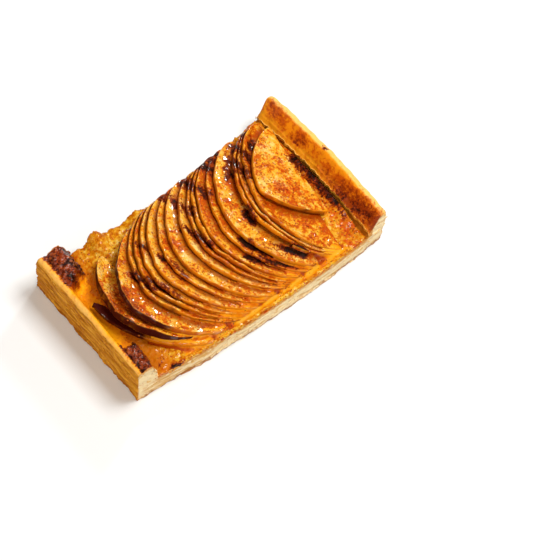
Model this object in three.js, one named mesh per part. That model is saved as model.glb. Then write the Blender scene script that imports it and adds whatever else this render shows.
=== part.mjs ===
// A slice of fruit puff pastry: a slab of layered dough, a raised dough strip along each end,
// a thin bed of almond cream from cut side to cut side, and a fan of baked fruit slices on it.
// X runs from the near strip to the far strip, Y from the front cut side to the back one, Z up.

import * as THREE from "three";
import { mergeVertices } from "three/addons/utils/BufferGeometryUtils.js";

// Driving dimensions, in millimetres and degrees.
const LENGTH = 138.6;
const NEAR_WIDTH = 70;
const FAR_WIDTH = 79;
const BOW = 4.5;
const FAR_SHIFT = 1;
const FAR_BOW = 1.8;
const BASE_THICKNESS = 10.8;
const CLEARANCE = 0.3;

const LAYER_PITCH = 1.2;
const LAYER_RELIEF = 0.7;
const EDGE_ROUNDING = 0.4;

const RIDGE_HEIGHT = 24.3;
const RIDGE_BREADTH = 0.25;
const NEAR_STRIP_FRONT_WIDTH = 9.6;
const NEAR_STRIP_BACK_WIDTH = 16;
const NEAR_HOLLOW_HEIGHT = 12.5;
const NEAR_EDGE_DROP = 1.2;
const LUMP_HEIGHT = 24.6;
const LUMP_CRAG = 0.8;
const LUMP_RUN = 5;
const LUMP_SHOULDER = 6;
const BACK_LUMP_START = 9;
const BACK_LUMP_SLANT = 9;
const FRONT_LUMP_START = -15;
const FRONT_LUMP_SLANT = 5;
const FAR_STRIP_WIDTH = 8.8;
const FAR_INNER_HEIGHT = 17.5;
const FAR_EDGE_DROP = 3;
const FAR_WAVER = 0.5;
const LIP_REACH = 2;
const LIP_HEIGHT = 15.2;
const LIP_LIFT = 2.4;

const CREAM_THICKNESS = 1.5;
const CREAM_DOME = 1.2;
const CREAM_LUMP_RISE = 1.6;
const CREAM_LUMP_REACH = 0.6;
const CREAM_LUMPS = [
  { at: -38, spread: 4, share: 1 },
  { at: -19, spread: 6, share: 0.5 },
];
const CREAM_INSET = 0.8;

const FRUIT_FRONT_WIDTH = 31;
const FRUIT_BACK_WIDTH = 35;
const FRUIT_BACK_GROWTH = 8;
const FRUIT_RISE = 11;
const FRUIT_ROUNDNESS = 1.69;
const FRUIT_LEAN = 19;
const FRUIT_LEAN_STEP = 0.24;
const FRUIT_TURN = 1.9;
const FRUIT_TURN_STEP = -0.66;
const FRUIT_CENTRE = -6.8;
const FRUIT_THICKNESS = 2.3;
const FRUIT_TIP = 1.6;
const FIRST_RIM = -62;
const RIM_STEPS = [3.4, 5.4, 9.6, 3.3, 3.4, 4.1, 5.9, 4.6, 7.3, 4.8, 2.7, 2.7, 6, 4.4, 11, 2.4, 2.5, 5];

// The first slices are cut shallow and turned further; the last is a smaller, more pointed piece.
const FIRST_CUT = { turn: 35, lean: 9, front: 28, back: 28, depth: 8, centre: -17 };
const SECOND_CUT = { turn: 10.6, lean: 17.9, front: 27, back: 29.6, depth: 20.4, tipRise: 2 };
const THIRD_CUT = { turn: -1.2, front: 28, centre: -10.1 };
const LAST_CUT = { turn: -8, lean: 24.5, front: 19, back: 31, depth: 27.4, centre: -1.2, roundness: 1.5 };

const { degToRad, lerp, smoothstep } = THREE.MathUtils;

// A wavering line between -1 and 1; each seed gives another one.
function wave(along, seed) {
  const slow = Math.sin(0.11 * along + 1.7 * seed);
  const middle = Math.sin(0.27 * along + 4.1 * seed);
  const quick = Math.sin(0.61 * along + 2.9 * seed);
  return (slow + middle + quick) / 3;
}

// How far one baked layer stands out of a cut face at a given height.
function flake(along, height, seed) {
  const layer = Math.round(height / LAYER_PITCH);
  const own = Math.sin(2.4 * layer + seed);
  return LAYER_RELIEF * (0.55 * own + 0.6 * wave(along, layer + seed));
}

// Where a cut side lies: side is -1 at the front and 1 at the back.
function sideAt(x, side) {
  const along = x / LENGTH + 0.5;
  const centre = FAR_SHIFT * along - BOW * 4 * along * (1 - along);
  const width = lerp(NEAR_WIDTH, FAR_WIDTH, along * along);
  return centre + (side * width) / 2;
}

// The far end bulges a little between its corners.
function farEnd(fraction) {
  return LENGTH / 2 - LAYER_RELIEF - 0.8 * FAR_BOW + FAR_BOW * 4 * fraction * (1 - fraction);
}

function acrossAt(x, fraction) {
  return lerp(sideAt(x, -1), sideAt(x, 1), fraction);
}

// The low mound of the cream, on which the fruit lies.
function domeAt(x, y) {
  const across = (y - acrossAt(x, 0.5)) / (NEAR_WIDTH / 2);
  return CREAM_DOME * Math.max(0, 1 - across * across);
}

// Outward sign of a box fraction: -1 and 1 on the two end faces, 0 between them.
function facing(fraction) {
  if (fraction < 1e-6) return -1;
  return fraction > 1 - 1e-6 ? 1 : 0;
}

// A closed solid moulded from a divided unit box; place turns each corner's fractions into millimetres.
function moulded(segments, place) {
  const box = new THREE.BoxGeometry(1, 1, 1, ...segments);
  box.deleteAttribute("normal");
  box.deleteAttribute("uv");
  const solid = mergeVertices(box, 1e-4);
  const position = solid.attributes.position;
  const corner = new THREE.Vector3();
  for (let i = 0; i < position.count; i += 1) {
    corner.fromBufferAttribute(position, i).addScalar(0.5);
    const spot = place(corner.x, corner.y, corner.z);
    position.setXYZ(i, spot.x, spot.y, spot.z);
  }
  solid.computeVertexNormals();
  return solid;
}

function named(name, geometry, color, roughness) {
  const mesh = new THREE.Mesh(geometry, new THREE.MeshStandardMaterial({ color, roughness, metalness: 0 }));
  mesh.name = name;
  return mesh;
}

// The slab of layered dough under everything, with flaky cut sides and a flat underside.
function pastryBase() {
  return moulded([24, 12, 9], (a, b, c) => {
    const height = c * BASE_THICKNESS;
    const tuck = c === 0 ? EDGE_ROUNDING : 0;
    const plainX = lerp(-LENGTH / 2 + LAYER_RELIEF, farEnd(b), a);
    const plainY = acrossAt(plainX, b);
    const outX = facing(a) * (flake(plainY, height, 3 + a) - tuck);
    const outY = facing(b) * (flake(plainX, height, 7 + b) - tuck);
    return new THREE.Vector3(plainX + outX, plainY + outY, height);
  });
}

// Width of the near strip, which is broader at its back end.
function nearWidth(across) {
  return lerp(NEAR_STRIP_FRONT_WIDTH, NEAR_STRIP_BACK_WIDTH, across);
}

// Height of the near strip's top: a ridge along its outer edge, a hollow where the first fruit lies,
// and a craggy burnt lump at each corner. Inward is 0 at the outer edge and 1 at the inner one.
function nearTop(inward, y) {
  const fall = Math.exp(-((Math.max(0, inward - 0.04) / RIDGE_BREADTH) ** 1.3));
  const hollow = lerp(NEAR_HOLLOW_HEIGHT, RIDGE_HEIGHT, fall);
  const crag = LUMP_CRAG * wave(9 * y + 70 * inward, 2);
  const lump = LUMP_HEIGHT + crag - LUMP_SHOULDER * smoothstep(inward, 0.75, 1);
  const backStart = BACK_LUMP_START + BACK_LUMP_SLANT * inward;
  const frontStart = FRONT_LUMP_START - FRONT_LUMP_SLANT * inward;
  const back = smoothstep(y, backStart, backStart + LUMP_RUN);
  const front = 1 - smoothstep(y, frontStart - LUMP_RUN, frontStart);
  const inLump = Math.max(back, front) * smoothstep(inward, 0.1, 0.3);
  return lerp(hollow, lump, inLump) - NEAR_EDGE_DROP * (1 - smoothstep(inward, 0, 0.12));
}

function nearStrip() {
  const bottom = BASE_THICKNESS + CLEARANCE;
  return moulded([7, 26, 7], (a, b, c) => {
    const plainX = -LENGTH / 2 + LAYER_RELIEF + a * nearWidth(b);
    const plainY = acrossAt(plainX, b);
    const height = lerp(bottom, nearTop(a, plainY), c);
    const outX = facing(a) * flake(plainY, height, 11);
    const outY = facing(b) * (flake(plainX, height, 13) - 0.6 * EDGE_ROUNDING * facing(c) ** 2);
    return new THREE.Vector3(plainX + outX, plainY + outY, height);
  });
}

// Height of the far strip's top: a slope up from its inner edge to the ridge, and a rounded outer edge.
function farTop(outward) {
  const slope = lerp(FAR_INNER_HEIGHT, RIDGE_HEIGHT, smoothstep(outward, 0.02, 0.85));
  return slope - FAR_EDGE_DROP * smoothstep(outward, 0.82, 1);
}

// The far strip, with a thin lip standing clear along its inner edge.
function farStrip() {
  const bottom = BASE_THICKNESS + CLEARANCE;
  const lipColumn = 1 / 7;
  return moulded([7, 24, 7], (a, b, c) => {
    const inner = farEnd(b) - FAR_STRIP_WIDTH;
    const onLip = a < lipColumn / 2;
    const outward = Math.max(0, (a - lipColumn) / (1 - lipColumn));
    const plainX = onLip ? inner - LIP_REACH : inner + outward * FAR_STRIP_WIDTH;
    const plainY = acrossAt(plainX, b);
    const waver = FAR_WAVER * wave(plainY, 5);
    const low = onLip ? bottom + LIP_LIFT : bottom;
    const high = onLip ? LIP_HEIGHT : farTop(outward) + waver;
    const height = lerp(low, high, c);
    const outX = facing(a) * (onLip ? wave(3 * plainY, 6) : flake(plainY, height, 17));
    const outY = facing(b) * flake(plainX, height, 19);
    return new THREE.Vector3(plainX + outX, plainY + outY, height);
  });
}

// How much cream has run out at a place along the back margin.
function creamRun(x) {
  const runs = CREAM_LUMPS.map(({ at, spread, share }) => share * Math.exp(-(((x - at) / spread) ** 2)));
  return runs.reduce((sum, run) => sum + run, 0);
}

// The thin bed of almond cream between the strips, with lumps that have run to the back margin.
function creamLayer() {
  const nearStart = -LENGTH / 2 + 2 * LAYER_RELIEF + CLEARANCE;
  const beforeLip = FAR_STRIP_WIDTH + LAYER_RELIEF + LIP_REACH + CLEARANCE;
  const bottom = BASE_THICKNESS + CLEARANCE;
  return moulded([24, 12, 1], (a, b, c) => {
    const x = lerp(nearStart + nearWidth(b), farEnd(b) - beforeLip, a);
    const lumpy = creamRun(x) * smoothstep(b, 0.8, 1);
    const margin = facing(b) * (CREAM_LUMP_REACH * lumpy - CREAM_INSET + 0.5 * wave(5 * x, 4));
    const y = acrossAt(x, b) + margin;
    const top = bottom + CREAM_THICKNESS + domeAt(x, y) + CREAM_LUMP_RISE * lumpy;
    return new THREE.Vector3(x, y, c === 0 ? bottom : top);
  });
}

// How one fruit slice is cut: most rise alike, and turn, lean and reach a little more from one to the next.
function fruitCut(order) {
  const lean = FRUIT_LEAN + FRUIT_LEAN_STEP * order;
  const usual = {
    turn: FRUIT_TURN + FRUIT_TURN_STEP * order,
    lean,
    front: FRUIT_FRONT_WIDTH,
    back: FRUIT_BACK_WIDTH + FRUIT_BACK_GROWTH * (order / RIM_STEPS.length),
    depth: FRUIT_RISE / Math.sin(degToRad(lean)),
    centre: FRUIT_CENTRE,
    roundness: FRUIT_ROUNDNESS,
    tipRise: 0,
  };
  const own = order === RIM_STEPS.length ? LAST_CUT : [FIRST_CUT, SECOND_CUT, THIRD_CUT][order];
  return { ...usual, ...own };
}

// How one fruit slice lies: a half round with its straight foot on the cream and its rim leaning up.
function fruitLie(order) {
  const { turn, lean, front, back, depth, centre, roundness, tipRise } = fruitCut(order);
  const rimX = RIM_STEPS.slice(0, order).reduce((sum, step) => sum + step, FIRST_RIM);
  const slope = tipRise / (front + back);
  const toRim = new THREE.Vector3(-Math.cos(degToRad(turn)), -Math.sin(degToRad(turn)), 0);
  const along = new THREE.Vector3(toRim.y, -toRim.x, -slope).normalize();
  const up = toRim.clone().applyAxisAngle(along, degToRad(lean));
  const normal = new THREE.Vector3().crossVectors(along, up);
  const footX = rimX + Math.hypot(depth * up.x, back * along.x);
  const bed = BASE_THICKNESS + 3 * CLEARANCE + CREAM_THICKNESS;
  const foot = new THREE.Vector3(footX, centre, bed + slope * back);
  return { foot, along, up, normal, front, back, depth, roundness };
}

// How far the slice reaches from its foot to its rim, at a place along the foot.
function fruitReach(lie, v) {
  const share = Math.min(1, v < 0 ? -v / lie.front : v / lie.back);
  const round = (1 - share ** lie.roundness) ** (1 / lie.roundness);
  return Math.max(FRUIT_TIP, lie.depth * round);
}

function fruitSpot(lie, v, u, w) {
  const spot = lie.foot.clone().addScaledVector(lie.along, v);
  return spot.addScaledVector(lie.up, u).addScaledVector(lie.normal, w);
}

// A place along the foot, from the front tip at 0 to the back tip at 1, closer set towards the tips.
function fruitAlong(lie, fraction) {
  const swing = -Math.cos(Math.PI * fraction);
  return swing * (swing < 0 ? lie.front : lie.back);
}

// The room between a slice's lower face and the next slice, which sets how thick it can be.
function roomUnder(lie, next) {
  let room = Infinity;
  for (let i = 0; i <= 40; i += 1) {
    for (let j = 0; j <= 10; j += 1) {
      const v = fruitAlong(next, i / 40);
      const offset = fruitSpot(next, v, (j / 10) * fruitReach(next, v), 0).sub(lie.foot);
      const ownV = offset.dot(lie.along);
      const ownU = offset.dot(lie.up);
      const within = ownV > -lie.front - 1 && ownV < lie.back + 1;
      const covered = within && ownU > -1 && ownU < fruitReach(lie, ownV) + 1;
      if (covered) room = Math.min(room, offset.dot(lie.normal));
    }
  }
  return room;
}

function fruitSlice(order) {
  const lie = fruitLie(order);
  const room = order < RIM_STEPS.length ? roomUnder(lie, fruitLie(order + 1)) - CLEARANCE : Infinity;
  const thickness = Math.min(FRUIT_THICKNESS, room);
  return moulded([16, 4, 1], (a, b, c) => {
    const v = fruitAlong(lie, a);
    const spot = fruitSpot(lie, v, b * fruitReach(lie, v), c * thickness);
    spot.z += domeAt(spot.x, spot.y);
    return spot;
  });
}

const slice = new THREE.Group();
slice.add(named("pastry_base", pastryBase(), 0xd9a85c, 0.75));
slice.add(named("near_end_strip", nearStrip(), 0xb4763a, 0.6));
slice.add(named("far_end_strip", farStrip(), 0xd08a35, 0.6));
slice.add(named("cream_layer", creamLayer(), 0xd9a032, 0.4));
for (let order = 0; order <= RIM_STEPS.length; order += 1) {
  const name = `fruit_slice_${String(order + 1).padStart(2, "0")}`;
  slice.add(named(name, fruitSlice(order), 0xd98f2e, 0.35));
}

export default slice;
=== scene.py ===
import math

import bpy
import numpy as np
from mathutils import Matrix, Vector
from mathutils.bvhtree import BVHTree
from mathutils.kdtree import KDTree


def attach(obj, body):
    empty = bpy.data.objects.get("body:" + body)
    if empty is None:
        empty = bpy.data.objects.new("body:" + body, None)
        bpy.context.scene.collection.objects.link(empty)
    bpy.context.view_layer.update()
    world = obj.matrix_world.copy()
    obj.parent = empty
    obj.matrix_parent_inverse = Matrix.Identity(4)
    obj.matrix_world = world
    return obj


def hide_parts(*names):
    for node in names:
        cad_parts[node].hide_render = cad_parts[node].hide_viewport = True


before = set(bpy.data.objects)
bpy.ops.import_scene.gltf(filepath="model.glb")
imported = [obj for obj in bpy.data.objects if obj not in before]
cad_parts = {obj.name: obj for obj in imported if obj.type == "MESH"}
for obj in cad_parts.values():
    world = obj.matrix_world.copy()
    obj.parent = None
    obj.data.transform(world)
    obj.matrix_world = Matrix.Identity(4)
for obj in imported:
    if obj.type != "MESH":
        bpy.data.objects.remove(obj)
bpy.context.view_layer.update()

# Pastry base
# A slab of rolled, folded dough that has risen into many thin layers. It is cut through on its long
# sides, where the pale crumb shows, and baked brown on its ends and underneath.
MM = 0.001
LENGTH = 138.6
NEAR_WIDTH = 70.0
FAR_WIDTH = 79.0
BOW = 4.5
FAR_SHIFT = 1.0
FAR_BOW = 1.8
FAR_CORNER_INSET = 0.8 * FAR_BOW
BASE_THICKNESS = 10.8
LAYER_RELIEF = 0.7
CUT_SIDE_RELIEF = 0.8
BASE_CUTS = (190, 110, 46)
BASE_SEED = 2.0
STAIN_RISE = (7.8 * MM, 10.0 * MM)
STAIN_TOP = (12.0 * MM, 11.0 * MM)
STAIN_ENDS = (61.0 * MM, 55.0 * MM)
BROWN_FOOT = (1.9 * MM, 0.3 * MM)
BASE_CRUST, BASE_CRUST_DEEP = "e09a34", "c87e1c"
CRUMB, CRUMB_LINE, CRUMB_GOLD = "f4e2b8", "dcb068", "d08c20"
END_DARK, END_BROWN, END_GOLD = "945408", "bc7812", "dca030"
UNDERSIDE, GROOVE_PAINTED_SHADE, GOLDEN = "94500c", "66360a", "d68a10"
RIDGE_PALE_AND_HIGHLIGHT, TOASTED, TOASTED_DARK = "f4c064", "be4a02", "742204"
CRAG_DARK, CRAG, CRAG_CREST_HIGHLIGHT, CRAG_HALO = "2c0a04", "742406", "b85a20", "b84e04"
SCORCH_TAN, SCORCH_BROWN, SCORCH_BLACK = "a03c04", "5a1a04", "1c0804"


def side_at(x, side):
    """Where a cut side lies, in millimetres: side is -1 at the front and 1 at the back."""
    along = x / LENGTH + 0.5
    centre = FAR_SHIFT * along - BOW * 4 * along * (1 - along)
    return centre + side * (NEAR_WIDTH + (FAR_WIDTH - NEAR_WIDTH) * along**2) / 2


def across_at(x, fraction):
    """The place at a fraction of the way from the front cut side to the back one."""
    return side_at(x, -1) + (side_at(x, 1) - side_at(x, -1)) * fraction


def far_end(fraction):
    """The far end bulges a little between its corners."""
    return LENGTH / 2 - LAYER_RELIEF - FAR_CORNER_INSET + FAR_BOW * 4 * fraction * (1 - fraction)


def between(low, high, share):
    return low + (high - low) * share


def eased(value, low, high):
    """A share that goes smoothly from 0 at low to 1 at high, or the other way if low is the larger."""
    share = np.clip((value - low) / (high - low), 0, 1)
    return share * share * (3 - 2 * share)


def at_end(fraction):
    return ((fraction == 0) | (fraction == 1)).astype(float)


def linear(code):
    """A colour for a shader from its six-digit web code."""
    channels = [int(code[i:i + 2], 16) / 255 for i in (0, 2, 4)]
    return tuple(c / 12.92 if c < 0.04045 else ((c + 0.055) / 1.055) ** 2.4 for c in channels) + (1.0,)


def mark(mesh, **marks):
    """Keeps one number for each point of a mesh under each name, for node trees to read."""
    for name, values in marks.items():
        layer = mesh.attributes.get(name) or mesh.attributes.new(name, "FLOAT", "POINT")
        layer.data.foreach_set("value", np.full(len(mesh.vertices), values, dtype=np.float32))


def points_of(mesh):
    """A mesh's points in millimetres."""
    flat = np.empty(len(mesh.vertices) * 3, dtype=np.float32)
    mesh.vertices.foreach_get("co", flat)
    return flat.reshape(-1, 3).astype(float) / MM


def set_points(mesh, points):
    mesh.vertices.foreach_set("co", (points * MM).astype(np.float32).ravel())
    mesh.update()


def shown(name, mesh):
    piece = bpy.data.objects.new(name, mesh)
    bpy.context.scene.collection.objects.link(piece)
    return piece


def moulded(name, cuts, place):
    """A closed piece moulded from a divided unit box: place turns box fractions into millimetres."""
    grid = np.indices([n + 1 for n in cuts]).reshape(3, -1).T
    skin = ((grid == 0) | (grid == cuts)).any(axis=1)
    number = np.full(len(grid), -1)
    number[skin] = np.arange(skin.sum())
    number = number.reshape([n + 1 for n in cuts])
    quads = []
    for axis in range(3):
        for end in (0, -1):
            sheet = np.take(number, end, axis=axis)
            quad = np.stack([sheet[:-1, :-1], sheet[1:, :-1], sheet[1:, 1:], sheet[:-1, 1:]], axis=-1)
            inward = (end == 0) != (axis == 1)
            quads.append(quad.reshape(-1, 4)[:, ::-1] if inward else quad.reshape(-1, 4))
    fractions = (grid[skin] / np.array(cuts)).T
    mesh = bpy.data.meshes.new(name)
    mesh.from_pydata((np.stack(place(*fractions), axis=-1) * MM).tolist(), [], np.concatenate(quads).tolist())
    return shown(name, mesh), fractions


def sum_of(operation, turned=False):
    """A sum on a flow and another value, which comes first if the sum is turned round."""
    def work_out(flow, other):
        values = (other, flow) if turned else (flow, other)
        return flow.recipe.reckon(operation, *values)
    return work_out


class Flow:
    """A value that runs through a node tree: sums on it add the nodes that work them out."""

    def __init__(self, recipe, socket):
        self.recipe = recipe
        self.socket = socket

    __add__ = __radd__ = sum_of("ADD")
    __sub__ = sum_of("SUBTRACT")
    __rsub__ = sum_of("SUBTRACT", turned=True)
    __mul__ = sum_of("MULTIPLY")
    __truediv__ = sum_of("DIVIDE")
    __rtruediv__ = sum_of("DIVIDE", turned=True)
    __pow__ = sum_of("POWER")


class Recipe:
    """A node tree, and the steps that are written into it."""

    def __init__(self, tree):
        self.tree = tree

    def step(self, kind, inputs=None, **settings):
        node = self.tree.nodes.new(kind)
        for name, value in settings.items():
            setattr(node, name, value)
        for name, value in (inputs or {}).items():
            self.feed(node.inputs[name], value)
        return node

    def feed(self, slot, value):
        """Links a flow to a slot, or sets the slot's own value. A plain colour is given as its web code."""
        if isinstance(value, Flow):
            self.tree.links.new(value.socket, slot)
        else:
            slot.default_value = linear(value) if slot.type == "RGBA" else value

    def flow(self, node, output=0):
        return Flow(self, node.outputs[output])

    def reckon(self, operation, *values):
        return self.flow(self.step("ShaderNodeMath", dict(enumerate(values)), operation=operation))

    def steer(self, operation, *values):
        """Vector sums: the last value of SCALE is a plain number."""
        node = self.step("ShaderNodeVectorMath", operation=operation)
        slots = [node.inputs[0], node.inputs["Scale"]] if operation == "SCALE" else node.inputs
        for slot, value in zip(slots, values):
            self.feed(slot, value)
        return self.flow(node)

    def split(self, vector):
        node = self.step("ShaderNodeSeparateXYZ", {"Vector": vector})
        return [self.flow(node, axis) for axis in range(3)]

    def joined(self, x, y, z):
        return self.flow(self.step("ShaderNodeCombineXYZ", {"X": x, "Y": y, "Z": z}))

    def noise(self, vector, scale, detail=2.0, rough=0.5):
        """Noise between 0 and 1."""
        settings = {"Vector": vector, "Scale": scale, "Detail": detail, "Roughness": rough}
        return self.flow(self.step("ShaderNodeTexNoise", settings))

    def uneven(self, *settings):
        """Noise about zero."""
        return self.noise(*settings) - 0.5

    def cells(self, vector, scale, feature="F1"):
        inputs = {"Vector": vector, "Scale": scale}
        return self.flow(self.step("ShaderNodeTexVoronoi", inputs, feature=feature), "Distance")

    def smooth(self, value, low, high):
        """A share that goes smoothly from 0 at low to 1 at high, or the other way if low is the larger."""
        limits = {"Value": value, "From Min": low, "From Max": high}
        return self.flow(self.step("ShaderNodeMapRange", limits, interpolation_type="SMOOTHSTEP"), "Result")

    def most(self, first, second):
        return self.reckon("MAXIMUM", first, second)

    def blend(self, share, first, second):
        """Two colours mixed by a share between 0 and 1."""
        node = self.step("ShaderNodeMix", {0: share, 6: first, 7: second}, data_type="RGBA")
        return self.flow(node, 2)

    def laid(self, under, over, value, low, high, strength=None):
        """One colour laid over another, from none where a value is low to all of it where it is high."""
        share = self.smooth(value, low, high)
        return self.blend(share if strength is None else share * strength, under, over)


class Growth(Recipe):
    """A geometry tree with named inputs, run on a piece to leave a plain mesh."""

    KINDS = {float: "NodeSocketFloat", tuple: "NodeSocketVector"}

    def __init__(self, name, **sizes):
        super().__init__(bpy.data.node_groups.new(name, "GeometryNodeTree"))
        sockets = self.tree.interface
        sockets.new_socket("Geometry", in_out="INPUT", socket_type="NodeSocketGeometry")
        for label, value in sizes.items():
            slot = sockets.new_socket(label, in_out="INPUT", socket_type=self.KINDS[type(value)])
            slot.default_value = value
        sockets.new_socket("material", in_out="INPUT", socket_type="NodeSocketMaterial")
        sockets.new_socket("Geometry", in_out="OUTPUT", socket_type="NodeSocketGeometry")
        self.start = self.step("NodeGroupInput")

    def size(self, label):
        return self.flow(self.start, label)

    def place(self):
        return self.flow(self.step("GeometryNodeInputPosition"))

    def marked(self, name):
        return self.flow(self.step("GeometryNodeInputNamedAttribute", {"Name": name}, data_type="FLOAT"))

    def keep(self, geometry, name, value):
        inputs = {"Geometry": geometry, "Name": name, "Value": value}
        node = self.step("GeometryNodeStoreNamedAttribute", inputs, data_type="FLOAT", domain="POINT")
        return self.flow(node)

    def pushed_out(self, geometry, distance):
        """Moves each point along the way its surface faces."""
        facing = self.flow(self.step("GeometryNodeInputNormal"))
        inputs = {"Geometry": geometry, "Offset": self.steer("SCALE", facing, distance)}
        return self.flow(self.step("GeometryNodeSetPosition", inputs))

    def finish(self, geometry):
        whole = self.flow(self.step("GeometryNodeRealizeInstances", {"Geometry": geometry}))
        rounded = self.flow(self.step("GeometryNodeSetShadeSmooth", {0: whole}))
        inputs = {"Geometry": rounded, "Material": self.size("material")}
        dressed = self.flow(self.step("GeometryNodeSetMaterial", inputs))
        self.step("NodeGroupOutput", {0: dressed})
        return self

    def run(self, piece, **sizes):
        modifier = piece.modifiers.new(self.tree.name, "NODES")
        modifier.node_group = self.tree
        for item in self.tree.interface.items_tree:
            if item.in_out == "INPUT" and item.name in sizes:
                modifier[item.identifier] = sizes[item.name]
        plain = piece.data
        graph = bpy.context.evaluated_depsgraph_get()
        grown = piece.evaluated_get(graph)
        piece.data = bpy.data.meshes.new_from_object(grown, preserve_all_data_layers=True, depsgraph=graph)
        piece.modifiers.remove(modifier)
        bpy.data.meshes.remove(plain)
        piece.data.name = piece.name
        return piece


class Overlay(Recipe):
    """A shader group that lays marks of some strength over a colour."""

    def __init__(self, name, strength):
        super().__init__(bpy.data.node_groups.new(name, "ShaderNodeTree"))
        slots = {"colour": "NodeSocketColor", strength: "NodeSocketFloat", "vector": "NodeSocketVector"}
        for label, kind in slots.items():
            self.tree.interface.new_socket(label, in_out="INPUT", socket_type=kind)
        start = self.step("NodeGroupInput")
        self.colour, self.strength, self.spot = (self.flow(start, label) for label in slots)

    def finish(self, **results):
        for label, result in results.items():
            kind = "NodeSocketColor" if result.socket.type == "RGBA" else "NodeSocketFloat"
            self.tree.interface.new_socket(label, in_out="OUTPUT", socket_type=kind)
        self.step("NodeGroupOutput", results)
        return self.tree


class Finish(Recipe):
    """The look of one piece: a material whose colour, gloss and bump are worked out over its surface."""

    FILM_SCALE = 240.0
    COAT_ROUGHNESS = 0.1

    def __init__(self, name):
        self.material = bpy.data.materials.new(name)
        self.material.use_nodes = True
        super().__init__(self.material.node_tree)
        self.shader = self.tree.nodes["Principled BSDF"]
        self.spot = self.flow(self.step("ShaderNodeTexCoord"), "Object")

    def marked(self, name):
        return self.flow(self.step("ShaderNodeAttribute", attribute_name=name), "Fac")

    def marks(self, *names):
        return [self.marked(name) for name in names]

    def overlaid(self, overlay, colour, strength):
        """A colour put through a shader group, with the strength of its marks on this piece."""
        inputs = {"colour": colour, 1: strength, "vector": self.spot}
        return self.step("ShaderNodeGroup", inputs, node_tree=overlay)

    def done(self, colour, roughness, bump, depth, film=None, **settings):
        """Bump is a height between 0 and 1, depth its size in metres, and film the bump of a wet coat."""
        self.feed(self.shader.inputs["Base Color"], colour)
        self.feed(self.shader.inputs["Roughness"], roughness)
        relief = self.step("ShaderNodeBump", {"Height": bump, "Distance": depth})
        self.tree.links.new(relief.outputs["Normal"], self.shader.inputs["Normal"])
        wet = relief if film is None else self.step("ShaderNodeBump", {"Height": film, "Distance": depth})
        self.tree.links.new(wet.outputs["Normal"], self.shader.inputs["Coat Normal"])
        for label, value in settings.items():
            self.feed(self.shader.inputs[label.replace("_", " ").title().replace("Ior", "IOR")], value)
        return self.material

    def glazed(self, colour, roughness, bump, depth, wet, **settings):
        """Done with a wet coat, whose own slow film breaks up its glints."""
        film = self.noise(self.spot, self.FILM_SCALE, 1.0)
        return self.done(colour, roughness, bump, depth, film, coat_weight=wet,
                         coat_roughness=self.COAT_ROUGHNESS, **settings)


def layered_dough():
    """Lets the layers of a wall stand in and out, opens grooves between some, and blisters the lumps."""
    tree = Growth("layered dough", pitch=1.5 * MM, relief=1.0 * MM, groove=0.6 * MM, sway=2.2 * MM,
                  grain=1.6 * MM, swell=0.9 * MM, seed=0.0)
    spot = tree.place()
    x, y, z = tree.split(spot)
    wall, lump, seed = tree.marked("wall"), tree.marked("lump"), tree.size("seed")
    waver = tree.uneven(tree.joined(x, y, z * 0.3 + seed), 34.0)
    level = (z + waver * tree.size("sway") * 2.0) / tree.size("pitch")
    step = tree.reckon("FLOOR", level)
    edge = tree.reckon("ABSOLUTE", level - step - 0.5) * 2.0
    own = tree.uneven(tree.joined(x, y, (step + seed) * 0.37), 60.0, 4.0, 0.6)
    parted = tree.smooth(tree.noise(tree.joined(x, y, (step + seed) * 0.71 + 9.0), 70.0, 3.0), 0.47, 0.6)
    groove = tree.smooth(edge, 0.45, 1.0) * parted
    bulge = tree.uneven(tree.joined(x, y, z * 0.6 + seed), 75.0)
    torn = tree.smooth(z, 2.2 * MM, 0.0) * (tree.noise(tree.joined(x, y, seed), 330.0, 3.0) - 0.45)
    crumb = tree.uneven(spot, 900.0, 3.0)
    stand = own * 2.2 * tree.size("relief") - groove * tree.size("groove") - edge**3.0 * 0.25 * MM
    stand = stand + bulge * 1.3 * MM + torn * 2.4 * MM + crumb * 0.4 * MM
    bubble = tree.cells(spot, 1.0 / tree.size("grain"), feature="SMOOTH_F1")
    crest = tree.smooth(bubble, 0.75, 0.1)
    coarse = tree.uneven(spot, 170.0, 2.0)
    boil = (crest * 0.8 - 0.5 + coarse * 3.4 + crumb * 1.4) * tree.size("swell")
    moved = tree.pushed_out(tree.size("Geometry"), wall * stand + lump * boil)
    toned = tree.keep(moved, "layer_tone", own + 0.5)
    crested = tree.keep(toned, "crest", crest * lump)
    return tree.finish(tree.keep(crested, "groove", groove * tree.smooth(wall, 0.0, 0.3)))


def scorch_overlay():
    """Browns a colour by a scorch mark, ragged at its edge, up to black at its heart."""
    over = Overlay("scorch", "scorch")
    grain = over.uneven(over.spot, 380.0, 6.0, 0.85)
    crumbs = over.cells(over.spot, 900.0) - 0.45
    ragged = over.strength + (grain * 3.4 + crumbs * 0.5) * over.smooth(over.strength, 0.0, 0.3)
    colour = over.laid(over.colour, SCORCH_TAN, ragged, 0.2, 0.45)
    colour = over.laid(colour, SCORCH_BROWN, ragged, 0.42, 0.62)
    colour = over.laid(colour, SCORCH_BLACK, ragged, 0.75, 0.98)
    return over.finish(colour=colour, burnt=over.smooth(ragged, 0.3, 0.7))


SCORCH = scorch_overlay()
DOUGH_LAYERS = layered_dough()


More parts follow.
